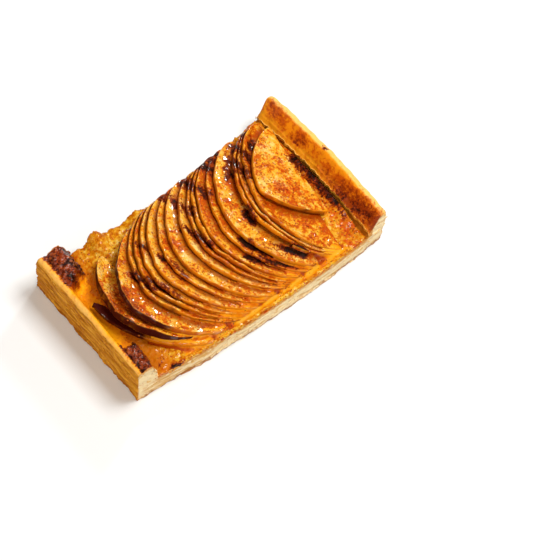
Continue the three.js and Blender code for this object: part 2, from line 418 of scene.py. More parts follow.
def dough_finish(name, top, top_deep):
    """Pale crumb on the cut sides, baked layers on the ends, washed crust on top, burnt sugar on lumps, with
    painted shade in the open grooves, a pale ridge that is partly a painted highlight, and painted highlights
    on the lumps' crests.
    """
    look = Finish(name)
    x, y, z = look.split(look.spot)
    cut, side, ridge, lump, golden, toasted = look.marks("cut", "side", "ridge", "lump", "golden", "toast")
    tone, groove, crest, scorch = look.marks("layer_tone", "groove", "crest", "scorch")
    mottle = look.noise(look.spot, 150.0, 4.0, 0.6)
    fine = look.noise(look.spot, 620.0, 4.0, 0.65)
    patchy, gritty = mottle - 0.5, fine - 0.5
    streak = look.noise(look.joined(x, y, z * 6.0), 100.0, 4.0, 0.6)
    lines = look.noise(look.joined(x, y, z * 9.0), 240.0, 3.0, 0.6)
    lay = tone * 0.45 + streak * 0.4 + lines * 0.15
    ends = look.laid(END_DARK, END_BROWN, lay, 0.4, 0.5)
    # The end walls lighten a little under the ridge, partly as a painted highlight
    ends = look.laid(ends, END_GOLD, lay + ridge * 0.08, 0.49, 0.6)
    crumb = look.laid(CRUMB_LINE, CRUMB, lay, 0.41, 0.5)
    crumb = look.laid(crumb, CRUMB_GOLD, mottle + (lines - 0.5) * 0.5, 0.56, 0.68, 0.45)
    sides = look.blend(cut, ends, crumb)
    # Painted shade: the open grooves between layers are darkened, more on the baked ends than on the cut
    # sides
    sides = look.blend(groove * (0.7 - cut * 0.45), sides, GROOVE_PAINTED_SHADE)
    stain = look.smooth(z + patchy * 6.0 * MM, *STAIN_RISE) * look.smooth(z, *STAIN_TOP)
    stain = stain * look.smooth(look.reckon("ABSOLUTE", x), *STAIN_ENDS)
    stain = look.most(stain, look.smooth(golden + patchy * 1.2, 0.3, 0.9))
    sides = look.blend(stain * cut * 0.85, sides, CRUMB_GOLD)
    sides = look.laid(sides, UNDERSIDE, z + gritty * 5.0 * MM + patchy * 4.0 * MM, *BROWN_FOOT, 0.85)
    crust = look.laid(top, top_deep, mottle + gritty * 0.4, 0.4, 0.62)
    crust = look.laid(crust, GOLDEN, golden + patchy * 0.6, 0.2, 0.8)
    # Paler along the ridge: partly the crust's own colour, partly a painted highlight on the rounded top
    crust = look.laid(crust, RIDGE_PALE_AND_HIGHLIGHT, ridge + patchy * 0.8, 0.2, 0.75)
    toast = toasted + (patchy * 1.6 + gritty * 2.0) * look.smooth(toasted, 0.0, 0.3)
    crust = look.laid(crust, TOASTED, toast, 0.4, 0.85, 0.6)
    crust = look.laid(crust, TOASTED_DARK, toast, 0.85, 1.25, 0.85)
    colour = look.blend(side, crust, sides)
    crag = look.laid(CRAG_DARK, CRAG, fine + patchy * 0.8, 0.42, 0.58)
    # Painted highlight: the crests of the lumps' bubbles are lightened
    crag = look.laid(crag, CRAG_CREST_HIGHLIGHT, crest + gritty * 1.4, 0.6, 1.0, 0.6)
    colour = look.laid(colour, CRAG_HALO, lump + gritty * 1.2, 0.02, 0.4, 0.85)
    colour = look.laid(colour, crag, lump + gritty * 1.4, 0.3, 0.7)
    browned = look.overlaid(SCORCH, colour, scorch)
    shine = (1.0 - side) * look.smooth(mottle, 0.4, 0.62) * 0.1 + lump * look.smooth(fine, 0.42, 0.56) * 0.9
    bump = fine * 0.6 + lines * side * 0.6
    return look.done(look.flow(browned, "colour"), 0.62 - shine * 0.3, bump, 0.5 * MM, coat_weight=shine,
                     coat_roughness=look.COAT_ROUGHNESS, specular_ior_level=0.1)


def base_place(a, b, c):
    x = between(-LENGTH / 2 + LAYER_RELIEF, far_end(b), a)
    return x, across_at(x, b), c * BASE_THICKNESS


base, (a, b, c) = moulded("pastry_base_slab", BASE_CUTS, base_place)
mark(base.data, lump=0, ridge=0, golden=0, toast=0, scorch=0,
     wall=np.maximum(at_end(a), CUT_SIDE_RELIEF * at_end(b)),
     side=np.maximum(at_end(a), at_end(b)),
     cut=at_end(b) * (1 - at_end(a)))
base_finish = dough_finish("base dough", BASE_CRUST, BASE_CRUST_DEEP)
DOUGH_LAYERS.run(base, material=base_finish, seed=BASE_SEED)
base_points = points_of(base.data)
base_points[:, 2] = np.clip(base_points[:, 2], 0, BASE_THICKNESS)
set_points(base.data, base_points)
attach(base, "root")
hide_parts("pastry_base")

# Near end strip
# A dough strip laid along the near end. Its outer edge has risen into a rounded ridge, its middle is a
# hollow under the first fruit, and sugar has boiled and burnt into a craggy lump at each corner.
CLEARANCE = 0.3
STRIP_BOTTOM = BASE_THICKNESS + CLEARANCE
STRIP_SEAT = BASE_THICKNESS - 0.2
RIDGE_HEIGHT = 24.3
RIDGE_UNEVENNESS = 0.4
RIDGE_TOP = 0.15
RIDGE_BREADTH = 0.2
RIDGE_ROUNDING = 2.2
RIDGE_PALENESS = 0.6
RIDGE_PALE_RISE = (17, 22)
NEAR_STRIP_FRONT_WIDTH = 9.6
NEAR_STRIP_BACK_WIDTH = 16.0
NEAR_HOLLOW_HEIGHT = 12.5
LUMP_HEIGHT = 24.6
LUMP_RUN = 6.0
LUMP_SHOULDER = 8.6
LUMP_OUTER_DROP = 1.2
LUMP_EDGE = 0.17
BACK_LUMP_START = 9.0
BACK_LUMP_SLANT = 9.0
FRONT_LUMP_START = -15.0
FRONT_LUMP_SLANT = 5.0
NEAR_CUTS = (48, 200, 46)
NEAR_SEED = 17.0
NEAR_CRUST, NEAR_CRUST_DEEP = "ffac08", "ec8a04"
BURNT_TIPS = [(-62.5, 21.0, -62.3, 16.5, 5.0, 0.95), (-61.0, 27.0, -59, 31, 3.0, 0.5),
              (-62.0, -21.0, -62.5, -24, 3.5, 0.9), (-62.0, -30.0, -63, -33.0, 4.0, 0.7)]


def wave(along, seed):
    """A slow, uneven swing between about -1 and 1."""
    swing = np.sin(0.11 * along + 1.7 * seed) + np.sin(0.27 * along + 4.1 * seed)
    return (swing + np.sin(0.61 * along + 2.9 * seed)) / 3


def rounding(distance, radius):
    """How far a rounded edge has dropped at a distance in from it."""
    share = np.clip(1 - distance / radius, 0, 1)
    return radius * (1 - np.sqrt(1 - share**2))


def near_width(across):
    return between(NEAR_STRIP_FRONT_WIDTH, NEAR_STRIP_BACK_WIDTH, across)


def in_lump(inward, y):
    """How far a place belongs to one of the burnt lumps, from 0 to 1."""
    uneven = 1.6 * wave(40 * inward, 3) + 1.2 * wave(5 * y, 8)
    back_start = BACK_LUMP_START + BACK_LUMP_SLANT * inward + uneven
    front_start = FRONT_LUMP_START - FRONT_LUMP_SLANT * inward + uneven
    back = eased(y, back_start, back_start + LUMP_RUN)
    front = 1 - eased(y, front_start - LUMP_RUN, front_start)
    edge = LUMP_EDGE + 0.05 * wave(8 * y, 4)
    return np.maximum(back, front) * eased(inward, edge - 0.1, edge + 0.12)


def near_top(inward, y, width):
    """The height of the strip's top: a ridge that falls to the hollow, with the lumps over both."""
    fall = np.exp(-(np.maximum(0, inward - RIDGE_TOP) / RIDGE_BREADTH) ** 1.6)
    ridge = RIDGE_HEIGHT + RIDGE_UNEVENNESS * wave(3 * y, 5) - RIDGE_UNEVENNESS
    hollow = between(NEAR_HOLLOW_HEIGHT, ridge, fall)
    lump = LUMP_HEIGHT - LUMP_SHOULDER * eased(inward, 0.62, 1) ** 1.4
    lump = lump - LUMP_OUTER_DROP * (1 - eased(inward, 0.15, 0.45))
    return between(hollow, lump, in_lump(inward, y)) - rounding(inward * width, RIDGE_ROUNDING)


def near_place(a, b, c):
    width = near_width(b)
    x = -LENGTH / 2 + LAYER_RELIEF + a * width
    y = across_at(x, b)
    corner = rounding((1 - b) * NEAR_WIDTH, RIDGE_ROUNDING) * (1 - eased(a, 0.2, 0.6))
    return x, y, between(STRIP_SEAT, near_top(a, y, width) - corner, c)


def marked_by(points, strokes):
    """How strongly strokes (x, y, x, y, radius, strength), in millimetres, mark each point from above."""
    total = np.zeros(len(points))
    for x0, y0, x1, y1, radius, strength in strokes:
        start, run = np.array([x0, y0]), np.array([x1 - x0, y1 - y0], dtype=float)
        share = np.clip((points[:, :2] - start) @ run / max(run @ run, 1e-6), 0, 1)
        apart = np.linalg.norm(points[:, :2] - start - share[:, None] * run, axis=1)
        total = np.maximum(total, strength * np.clip(1 - apart / radius, 0, 1))
    return total


near, (a, b, c) = moulded("near_end_strip_dough", NEAR_CUTS, near_place)
near_points = points_of(near.data)
near_lump = in_lump(a, near_points[:, 1]) * eased(c, 0.55, 0.9) * (1 - at_end(b))
mark(near.data, toast=0, lump=near_lump,
     wall=np.maximum(at_end(a), at_end(b)) * (1 - near_lump),
     side=np.maximum(at_end(a), at_end(b)),
     cut=at_end(b) * (a > 0),
     golden=at_end(b) * eased(c, 0.7, 1),
     # ridge: the outer top of the ridge is paler, partly the crust's own colour and partly a painted
     # highlight
     ridge=RIDGE_PALENESS * (1 - eased(a, 0.06, 0.26)) * eased(near_points[:, 2], *RIDGE_PALE_RISE),
     scorch=marked_by(near_points, BURNT_TIPS) * near_lump)
near_finish = dough_finish("near strip crust", NEAR_CRUST, NEAR_CRUST_DEEP)
DOUGH_LAYERS.run(near, material=near_finish, seed=NEAR_SEED)
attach(near, "root")
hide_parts("near_end_strip")

# Far end strip
# The dough strip along the far end: a smooth round ridge, an egg-washed slope browned in blotches, and a
# thin lip of one layer that stands clear along its inner edge.
FAR_STRIP_WIDTH = 8.8
FAR_SLOPE_FOOT = 16.6
FAR_UNEVENNESS = 0.7
FAR_EDGE_DROP = 4.2
FAR_END_ROUNDING = 3.0
LIP_REACH = 2.0
LIP_HEIGHT = 15.2
LIP_LIFT = 3.3
LIP_CURL = 0.25
LIP_SHARE = 1 / 6
LIP_RELIEF = 0.25
FAR_CUTS = (54, 200, 40)
FAR_SEED = 31.0
FAR_CRUST, FAR_CRUST_DEEP = "f0960e", "d86e06"
FAR_TOAST = [(62.5, 37, 61.0, 24, 6.0, 0.9), (61.2, 19, 62.5, 11, 4.5, 1.1), (61.6, 9, 60.8, -6, 5.5, 0.65),
             (60.8, -4, 60.2, -18, 6, 1.0), (60.4, -16, 60.6, -38, 7, 1.4)]
FAR_BURNS = [(57.4, 10, 57, -18, 1.6, 0.9), (60.4, -14, 60, -19, 3.0, 0.55), (60, -24, 60.5, -35, 4.0, 0.6),
             (66.5, 2.8, 66.6, 2.0, 2.2, 0.7), (61.2, 16, 61.6, 14, 2.0, 0.35)]


def far_place(a, b, c):
    inner = far_end(b) - FAR_STRIP_WIDTH
    lip = np.clip(1 - a / LIP_SHARE, 0, 1)
    outward = np.clip((a - LIP_SHARE) / (1 - LIP_SHARE), 0, 1)
    along = across_at(inner, b)
    ragged = LIP_REACH * (0.8 + 0.3 * wave(3 * along, 6) + 0.08 * wave(11 * along, 2))
    x = inner - lip * ragged + outward * FAR_STRIP_WIDTH
    y = across_at(x, b)
    slope = between(FAR_SLOPE_FOOT, RIDGE_HEIGHT, eased(outward, 0.0, 0.62))
    turn = np.clip((outward - 0.45) / 0.55, 0, 1)
    top = slope + FAR_UNEVENNESS * wave(1.7 * y, 5) - FAR_EDGE_DROP * (1 - np.sqrt(1 - turn**2))
    low = STRIP_SEAT + LIP_LIFT * lip**0.5
    high = LIP_HEIGHT + (top - LIP_HEIGHT) * (1 - lip) ** 1.7 + LIP_CURL * lip**6
    ends = rounding(np.minimum(b, 1 - b) * FAR_WIDTH, FAR_END_ROUNDING)
    return x, y, between(low, high - ends, c)


far, (a, b, c) = moulded("far_end_strip_dough", FAR_CUTS, far_place)
far_points = points_of(far.data)
mark(far.data, lump=0,
     wall=np.maximum(a == 1, at_end(b)) * (a > 0) + LIP_RELIEF * (a == 0),
     side=np.maximum(at_end(a), at_end(b)),
     cut=at_end(b),
     golden=1 - eased(a, 0.2, 0.42),
     # ridge: pale on the outer ridge, partly as a painted highlight on its rounded top, and pale on the thin
     # lip, its own colour
     ridge=np.maximum(eased(a, 0.5, 0.8), 0.9 - eased(a, 0.0, 0.08)),
     scorch=marked_by(far_points, FAR_BURNS) * (c > 0.9),
     toast=marked_by(far_points, FAR_TOAST) * (c > 0.9))
far_finish = dough_finish("far strip crust", FAR_CRUST, FAR_CRUST_DEEP)
DOUGH_LAYERS.run(far, material=far_finish, seed=FAR_SEED)
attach(far, "root")
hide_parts("far_end_strip")

# Almond cream
# A thin bed of almond cream between the strips. It shows as a yellow band along the front cut side and
# has run out in lumps along the back one, with syrup from the fruit baked over it.
CREAM_THICKNESS = 1.5
CREAM_DOME = 1.2
CREAM_NEAR_DIP = 0.2
CREAM_LUMP_RISE = 4.6
CREAM_LUMP_REACH = 1.6
CREAM_LUMPS = [(-39.0, 3.6, 1.0), (-19.0, 5.0, 0.4)]
CREAM_FRONT_INSET = 0.1
CREAM_BACK_INSET = 0.8
CREAM_RAGGEDNESS = 0.7
CREAM_LAP = 1.7
CREAM_LAP_WAVER = 1.2
CREAM_FAR_RISE = 1.7
CREAM_BARE_FROM = 0.36
CREAM_NEAR_STAIN = (-58, -42)
CREAM_FAR_STAIN = (40, 55)
CREAM_FAR_DRIFT = (42, 50)
CREAM_CUTS = (170, 112, 5)
FREE_GAP = 40.0
CREAM_BROWN, CREAM_OCHRE, CREAM_YELLOW = "b05a00", "cc7e04", "dea82a"
CREAM_PALE, CREAM_SYRUP = "f0cc74", "cc6a00"
SPICE_RUST, SPICE_BURNT, SPICE_SPECK = "c44602", "7a2604", "5a1e04"
CREAM_BURNS = [(57, 10, 56.5, -18, 4.6, 1.05), (56.5, -18, 55, -26, 3, 0.6),
               (-51, -36.5, -47.5, -37.5, 2.2, 0.9), (-55, -33, -53, -31, 3, 0.3)]


def dome_at(x, y):
    """The low mound of the cream, on which the fruit lies."""
    across = (y - across_at(x, 0.5)) / (NEAR_WIDTH / 2)
    return CREAM_DOME * np.maximum(0, 1 - across * across)


def cream_place(a, b, c):
    near_start = -LENGTH / 2 + LAYER_RELIEF + near_width(b) - CREAM_LAP + CREAM_LAP_WAVER * wave(350 * b, 2)
    far_stop = far_end(b) - FAR_STRIP_WIDTH - LAYER_RELIEF - LIP_REACH - CLEARANCE
    x = between(near_start, far_stop, a)
    run = sum(share * np.exp(-(((x - at) / spread) ** 2)) for at, spread, share in CREAM_LUMPS)
    lumpy = run * eased(b, 0.8, 1)
    outward = (b - 0.5) * 2 * np.abs(2 * b - 1) ** 9
    ragged = 0.5 * wave(7 * x, 4) + 0.5 * wave(17 * x, 9)
    inset = between(CREAM_FRONT_INSET, CREAM_BACK_INSET, b)
    y = across_at(x, b) + outward * (CREAM_LUMP_REACH * lumpy - inset + CREAM_RAGGEDNESS * ragged)
    heaped = CREAM_FAR_RISE * eased(far_stop - x, 5, 0.5) * eased(b, 0.1, 0.25)
    thick = eased(x - near_start, -1, 7)
    top = STRIP_BOTTOM + CREAM_THICKNESS + (dome_at(x, y) + CREAM_NEAR_DIP) * thick - CREAM_NEAR_DIP
    return x, y, between(STRIP_SEAT, top + CREAM_LUMP_RISE * lumpy + heaped, c)


def lumpy_cream():
    """Baked cream stands in soft lumps, larger along its free margins, with small burst bubbles."""
    tree = Growth("baked cream", swell=0.7 * MM)
    spot = tree.place()
    lumps = tree.uneven(spot, 260.0, 3.0) * 1.6
    heap = tree.smooth(tree.cells(spot, 230.0, feature="SMOOTH_F1"), 0.8, 0.1) - 0.35
    fine = tree.uneven(spot, 1100.0, 2.0) * 0.35
    out = (lumps + fine + heap * tree.marked("margin") * 2.2) * tree.size("swell") * tree.marked("free")
    return tree.finish(tree.pushed_out(tree.size("Geometry"), out))


def spice_overlay():
    """Fine dark specks and rusty drifts of ground spice over a colour."""
    over = Overlay("spice dust", "drift")
    cloud = over.noise(over.spot, 150.0, 5.0, 0.7) + over.strength * 0.17
    gritty = over.uneven(over.spot, 900.0, 3.0, 0.7)
    colour = over.laid(over.colour, SPICE_RUST, cloud + gritty * 0.8, 0.53, 0.68, 0.85)
    colour = over.laid(colour, SPICE_BURNT, cloud + gritty * 0.9, 0.7, 0.84, 0.8)
    strewing = over.smooth(cloud + gritty * 0.4, 0.42, 0.56)
    speck = over.smooth(over.cells(over.spot, 700.0), 0.3, 0.16) * strewing
    return over.finish(colour=over.blend(speck * 0.9, colour, SPICE_SPECK))


SPICE = spice_overlay()


def cream_finish():
    """Clotted yellow cream, brown with syrup at its near end, dusted with spice and wet in places."""
    look = Finish("almond cream")
    mottle = look.noise(look.spot, 140.0, 4.0, 0.6)
    fine = look.noise(look.spot, 620.0, 3.0)
    patchy, gritty = mottle - 0.5, fine - 0.5
    clot = 0.5 + patchy * 0.7 + gritty * 0.8 + look.uneven(look.spot, 1400.0, 3.0, 0.6) * 0.4
    colour = look.laid(CREAM_BROWN, CREAM_OCHRE, clot, 0.34, 0.46)
    colour = look.laid(colour, CREAM_YELLOW, clot, 0.46, 0.6)
    colour = look.laid(colour, CREAM_PALE, clot, 0.62, 0.74, 0.8)
    colour = look.laid(colour, CREAM_SYRUP, look.marked("stain") + patchy * 0.8, 0.2, 0.8, 0.8)
    dusted = look.overlaid(SPICE, colour, look.marked("drift"))
    browned = look.overlaid(SCORCH, look.flow(dusted, "colour"), look.marked("scorch"))
    wet = look.smooth(fine, 0.48, 0.6) * (1.0 - look.flow(browned, "burnt") * 0.7) * 0.5
    return look.glazed(look.flow(browned, "colour"), 0.5 - mottle * 0.2, fine, 0.8 * MM, wet,
                       specular_ior_level=0.06)


cream, (a, b, c) = moulded("almond_cream_bed", CREAM_CUTS, cream_place)
cream_points = points_of(cream.data)
cream_x = cream_points[:, 0]
mark(cream.data, gap=FREE_GAP,
     free=c > 0,
     upper=(c == 1) * (np.abs(b - 0.5) > CREAM_BARE_FROM),
     margin=eased(b, 0.86, 0.97) + 0.4 * (1 - eased(b, 0.02, 0.08)),
     scorch=marked_by(cream_points, CREAM_BURNS),
     stain=1 - eased(cream_x, *CREAM_NEAR_STAIN) * (1 - 0.5 * eased(cream_x, *CREAM_FAR_STAIN)),
     drift=0.9 * eased(cream_x, *CREAM_FAR_DRIFT) - 0.4)
lumpy_cream().run(cream, material=cream_finish())
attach(cream, "root")
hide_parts("cream_layer")

# Fruit slices
# Half rounds of fruit with the peel on, fanned so that each lies on the one before, brushed with syrup,
# dusted with spice and baked. Their rims have swollen, and the faces behind them have sunk.
FRUIT_FRONT_WIDTH = 31.0
FRUIT_BACK_WIDTH = 35.0
FRUIT_BACK_GROWTH = 8.0
FRUIT_RISE = 11.0
FRUIT_ROUNDNESS = 1.69
FRUIT_LEAN = 19.0
FRUIT_LEAN_STEP = 0.24
FRUIT_TURN = 1.9
FRUIT_TURN_STEP = -0.66
FRUIT_CENTRE = -6.8
FRUIT_TIP = 1.6
FRUIT_RIM = 2.0
FRUIT_RIM_SPREAD = (0.7, 1.25)
FRUIT_CREST = 27.2
CREST_FLATTENING = 0.6
FIRST_RIM = -62.0
RIM_STEPS = [3.4, 5.4, 9.6, 3.3, 3.4, 4.1, 5.9, 4.6, 7.3, 4.8, 2.7, 2.7, 6.0, 4.4, 11.0, 2.4, 2.5, 5.0]
LAST_STEP = 9.0
LAST = len(RIM_STEPS)
OWN_CUTS = {0: dict(turn=35, lean=9, front=25.6, back=28, depth=8, centre=-17),
            1: dict(turn=10.6, lean=17.9, front=27, back=29.6, depth=20.4, tip_rise=2),
            2: dict(turn=-1.2, front=28, centre=-10.1),
            LAST: dict(turn=-8, lean=24.5, front=19, back=31, depth=27.4, centre=-1.2, roundness=1.5)}
RIM_THICKNESSES = {0: 1.5, 1: 3.2, 2: 3.0}
HANGING_RIMS = {0: 0.3, 1: 1.5, 2: 0.6}
SPREAD_RIMS = {0: 1.8}
RIM_FALL_SHARE = 0.5
RIM_FALL_LIMITS = (1.3, 2.6)
RIM_SHARE = 0.2
RIM_SQUARENESS = 0.6
FOOT_SHARE = 0.1
FRUIT_CUTS = (141, 81)
FRUIT_SEED = 11
DARK_PEEL = {0: 1.1, 1: 1.1, 2: 0.85, 3: 0.5, 4: 0.45, LAST: 0.52}
DARK_RUNS = {0: (0.36, 0.7), 1: (0.0, 0.12), 2: (0.15, 0.4), LAST: (0.5, 0.3)}
WHOLE_RUN = (-1, 0)
LIGHT_PEEL = 0.35
TURNED_UP = {0: (0.2, 0.32)}
TURNED_PEEL = (5.0, 4.4)
SOOT_AND_SHADE_BAND = (-14, 6)
OPEN_FOOT = (49, 52)
SHELTER = (1.6, 5.5)
TONES = {1: 0.6, 2: 0.55}
FLESH_DEEP, FLESH_GOLD, FLESH_PALE, FLESH_WHITE = "b64c00", "e08604", "eaae30", "eec876"
FLESH_AMBER, FLESH_HONEY, SYRUP_AND_SHADE_BROWN, GROOVE_SOOT_AND_SHADE = "ba4600", "e08806", "943800", "4c1602"
PEEL_FOOT, PEEL_GOLD, PEEL_RED, PEEL_DARK = "8a3a00", "da8208", "9c3202", "42100a"
FRUIT_BURNS = [(7, -13, 15, -22.5, 4.5, 1.9), (15, -22.5, 25, -30, 4, 1.9), (2.5, -19, 12, -28, 3.5, 1.0),
               (12, -28, 22, -33, 3.5, 1.0), (16.5, -2, 15.5, -7, 3.5, 1.3), (6.5, 32, 9, 16, 5, 0.8),
               (18, 36, 22, 18, 5.5, 0.85), (24, 36, 25, 18, 5, 0.8), (28, 34, 30, 12, 5, 0.75),
               (35, 36, 37, 18, 5, 0.75), (44, 37, 43, 24, 5.5, 0.85), (-5, 30, -2, 12, 5, 0.65),
               (55.5, 10, 55, -18, 5.0, 1.05), (-41.5, 4, -40, -8, 3.0, 0.9), (-38, -4, -33, -18, 3.0, 0.9),
               (-26, 2, -25, -12, 3, 0.8), (-10, 8, -7, -6, 3, 0.9), (-30, 14, -28, 4, 3, 0.6)]
SPICE_DRIFTS = [(-57.5, 10, -57, -12, 5, 1.9), (-51.5, 3, -50.5, -18, 5, 1.9), (-48, -2, -42, -20, 9, 0.7),
                (21, 14, 24, 0, 7, 0.9), (34, 12, 37, -2, 7, 0.8), (44, 20, 50, 8, 8, 0.5),
                (45, -4, 46, -10, 7, 0.7), (-20, 10, -18, 0, 6, 0.6), (2, 14, 4, 0, 6, 0.7),
                (12, 10, 12, -6, 5, 0.6), (-8, 4, -6, -16, 5, 0.5)]


def fruit_cut(order):
    """How one slice is cut: most rise alike, and turn, lean and reach a little more from one to the next."""
    lean = FRUIT_LEAN + FRUIT_LEAN_STEP * order
    usual = dict(turn=FRUIT_TURN + FRUIT_TURN_STEP * order, lean=lean, front=FRUIT_FRONT_WIDTH,
                 back=FRUIT_BACK_WIDTH + FRUIT_BACK_GROWTH * order / len(RIM_STEPS),
                 depth=FRUIT_RISE / math.sin(math.radians(lean)), centre=FRUIT_CENTRE,
                 roundness=FRUIT_ROUNDNESS, tip_rise=0.0)
    return {**usual, **OWN_CUTS.get(order, {})}


def fruit_lie(order):
    """The middle of a slice's foot, the direction along it, the direction up to its rim, and its cut."""
    cut = fruit_cut(order)
    slope = cut["tip_rise"] / (cut["front"] + cut["back"])
    to_rim = Vector((-math.cos(math.radians(cut["turn"])), -math.sin(math.radians(cut["turn"])), 0))
    along = Vector((to_rim.y, -to_rim.x, -slope)).normalized()
    up = Matrix.Rotation(math.radians(cut["lean"]), 3, along) @ to_rim
    rim_x = FIRST_RIM + sum(RIM_STEPS[:order])
    foot_x = rim_x + math.hypot(cut["depth"] * up.x, cut["back"] * along.x)
    bed = BASE_THICKNESS + 3 * CLEARANCE + CREAM_THICKNESS
    return Vector((foot_x, cut["centre"], bed + slope * cut["back"])), along, up, cut


def thickness_of(node, foot, normal):
    """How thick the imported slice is, measured from its own points."""
    points = points_of(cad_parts[node].data)
    points[:, 2] -= dome_at(points[:, 0], points[:, 1])
    return float(((points - np.array(foot)) @ np.array(normal)).max())


def fruit_growth():
    """A slice from its foot, its two widths and its depth: two faces, a thick peel rim and a closed foot."""
    tree = Growth("fruit slice", foot=(0.0, 0.0, 0.0), along=(0.0, 1.0, 0.0), up=(-1.0, 0.0, 0.0), front=0.03,
                  back=0.03, depth=0.03, roundness=2.0, thickness=0.002, tip=0.0016, rim=0.002, fall=0.0015,
                  hang=0.0, spread=0.0, seed=0.0)
    cuts = {"Size X": 1.0, "Size Y": 1.0, "Vertices X": FRUIT_CUTS[0], "Vertices Y": FRUIT_CUTS[1]}
    grid = tree.step("GeometryNodeMeshGrid", cuts)
    a, c, _ = tree.split(tree.place())
    seed, power, thickness = tree.size("seed"), tree.size("roundness"), tree.size("thickness")

    # The outline: how far along its foot a column stands, and how far out the rim is there
    swing = 0.0 - tree.reckon("COSINE", (a + 0.5) * math.pi)
    share = tree.reckon("ABSOLUTE", swing)
    backward = tree.reckon("GREATER_THAN", swing, 0.0)
    v = swing * (tree.size("front") + backward * (tree.size("back") - tree.size("front")))
    wobble = tree.uneven(tree.joined(v, seed, 0.0), 130.0, 4.0, 0.6) * 0.1
    wobble = wobble + tree.uneven(tree.joined(v, seed, 7.0), 32.0, 1.0) * 0.09
    rounded = tree.most(1.0 - share**power, 0.0) ** (1.0 / power)
    reach = tree.most(tree.size("depth") * rounded, tree.size("tip")) * (1.0 + wobble)
    reach = reach + tree.size("spread") * rounded
    taper = tree.smooth(share, 1.0, 0.985)
    fading = tree.smooth(share, 0.9, 0.45)
    fading = fading + backward * (tree.smooth(share, 1.0, 0.93) - fading)
    ripple = tree.noise(tree.joined(v, seed, 3.0), 110.0, 2.0)
    swell = tree.most(tree.size("rim") - thickness, 0.0) * fading * (0.25 + ripple * 1.5)
    half = (thickness + swell) * 0.35 * taper

    # The section: round the rim, in over the sunk face, and closed at the foot
    s = c * 2.0 * (1.0 + FOOT_SHARE)
    far = tree.reckon("ABSOLUTE", s)
    rim = tree.reckon("MINIMUM", far / RIM_SHARE, 1.0)
    closing = tree.smooth(far, 1.0 + FOOT_SHARE, 1.0)
    outward = tree.reckon("SINE", rim * (math.pi / 2)) ** RIM_SQUARENESS
    side = tree.reckon("SIGN", s) * outward * closing
    inward = tree.reckon("MINIMUM", tree.most((far - RIM_SHARE) / (1.0 - RIM_SHARE), 0.0), 1.0) ** 1.5
    flat = tree.most(reach - half, 0.0)
    turned = tree.most(tree.reckon("COSINE", rim * (math.pi / 2)), 0.0) ** RIM_SQUARENESS
    u = flat * (1.0 - inward) + half * turned
    sunk = flat * inward / tree.size("fall")
    close = tree.reckon("EXPONENT", 0.0 - sunk * sunk) * taper
    body = (thickness * taper + swell * close) * 0.5
    droop = tree.size("hang") * close * tree.smooth(share, 0.95, 0.6) * (0.5 - side * 0.5)
    lift = backward * tree.smooth(share, 0.55, 1.0) * 1.4 * MM
    where = tree.joined(v, u, seed)
    warp = tree.uneven(where, 60.0, 2.0) * 0.7 * MM
    wrinkle = tree.uneven(where, 420.0, 4.0, 0.6) * 0.55 * MM
    curl = (tree.noise(tree.joined(v, seed + 4.0, 0.0), 90.0, 2.0) - 0.45) * (1.0 - inward) ** 6.0 * 1.8 * MM
    w = body * (side + 1.0) - droop + lift + (warp + wrinkle + curl) * tree.smooth(share, 1.0, 0.9)

    # The slice in its place, with what its material reads
    along, up = tree.size("along"), tree.size("up")
    level = tree.steer("ADD", tree.size("foot"), tree.steer("SCALE", along, v))
    raised = tree.steer("ADD", level, tree.steer("SCALE", up, u))
    normal = tree.steer("CROSS_PRODUCT", along, up)
    spot = tree.steer("ADD", raised, tree.steer("SCALE", normal, w))
    shaped = tree.keep(tree.flow(grid, "Mesh"), "inset", (reach - u) / MM)
    shaped = tree.keep(shaped, "peel", tree.smooth(far, RIM_SHARE * 0.66, RIM_SHARE * 0.5))
    shaped = tree.keep(shaped, "across", tree.reckon("SIGN", s) * rim)
    shaped = tree.keep(shaped, "upper", tree.reckon("GREATER_THAN", s, 0.0))
    shaped = tree.keep(shaped, "length", a + 0.5)
    moved = tree.flow(tree.step("GeometryNodeSetPosition", {"Geometry": shaped, "Position": spot}))
    closed = tree.step("GeometryNodeMergeByDistance", {"Geometry": moved, "Distance": 0.01 * MM})
    return tree.finish(tree.flow(closed))


def marks_of(mesh, name):
    values = np.empty(len(mesh.vertices), dtype=np.float32)
    mesh.attributes[name].data.foreach_get("value", values)
    return values


